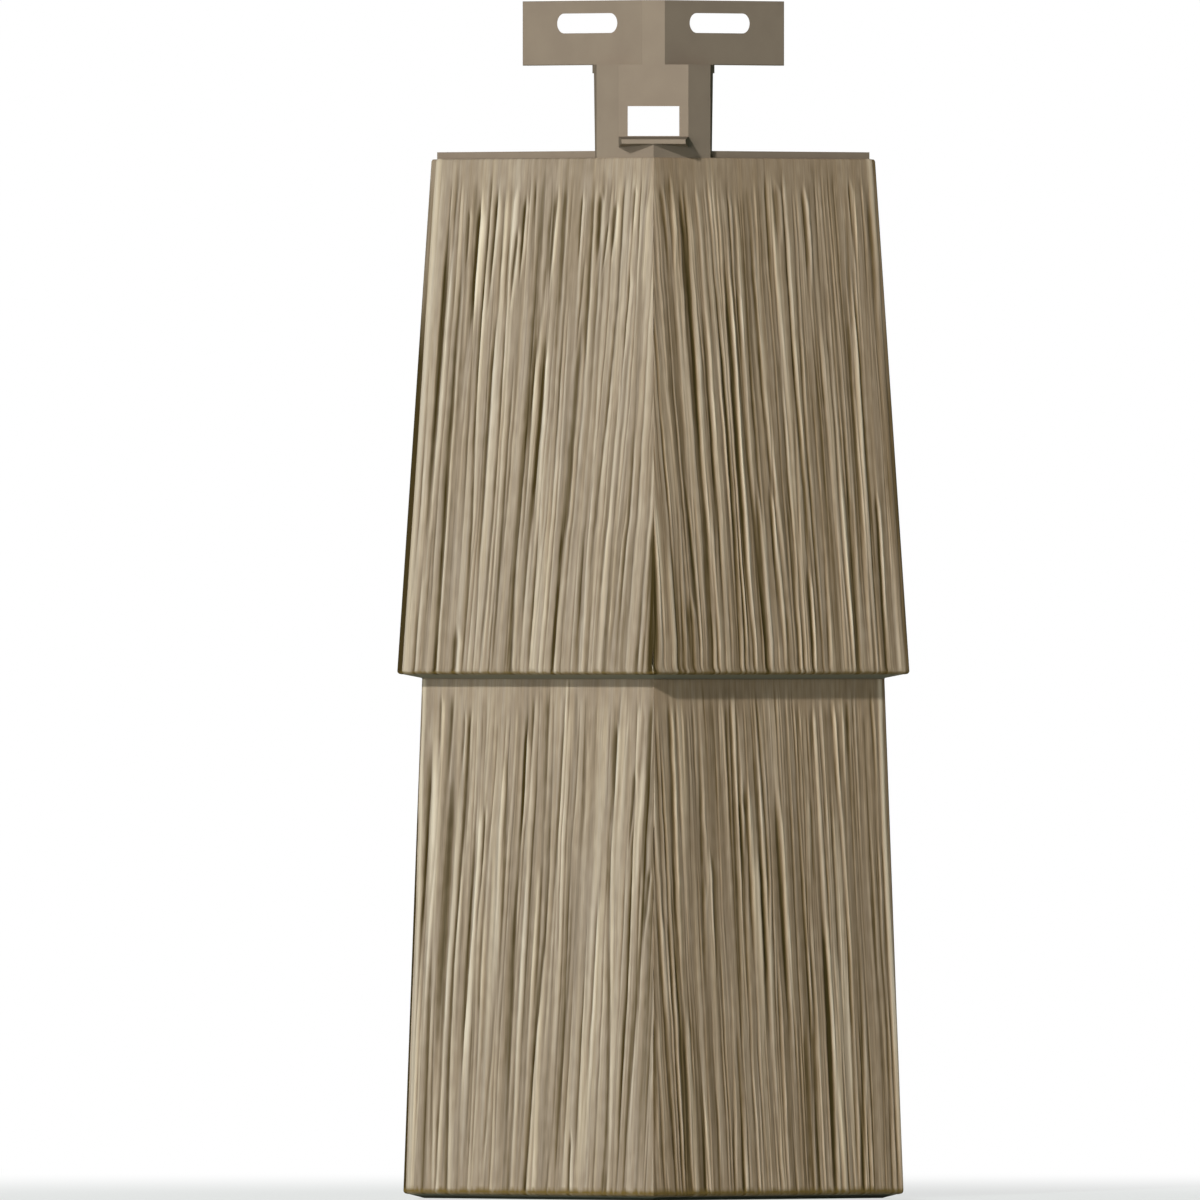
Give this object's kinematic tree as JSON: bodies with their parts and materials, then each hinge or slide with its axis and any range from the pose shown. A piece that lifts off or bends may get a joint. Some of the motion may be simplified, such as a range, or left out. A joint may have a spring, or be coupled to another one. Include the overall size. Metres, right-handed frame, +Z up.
{
  "type": "shake siding corner",
  "caption": "Outside corner moulding for shake siding, two wood-grained courses with mitred legs, a T-shaped nailing flange and a locking shelf.",
  "frame": {"origin": "corner of the two seat planes behind the nailing flange, level with the lowest rim", "axes": "+Z up the corner, +X and +Y along the two legs; the mitred arris looks to -X and -Y"},
  "size_m": [0.1242, 0.1242, 0.4095],
  "materials": {
    "shake_plastic": "matte, moulded in one colour"
  },
  "bodies": {
    "root": {"corner_piece": "shake_plastic"}
  },
  "joints": []
}
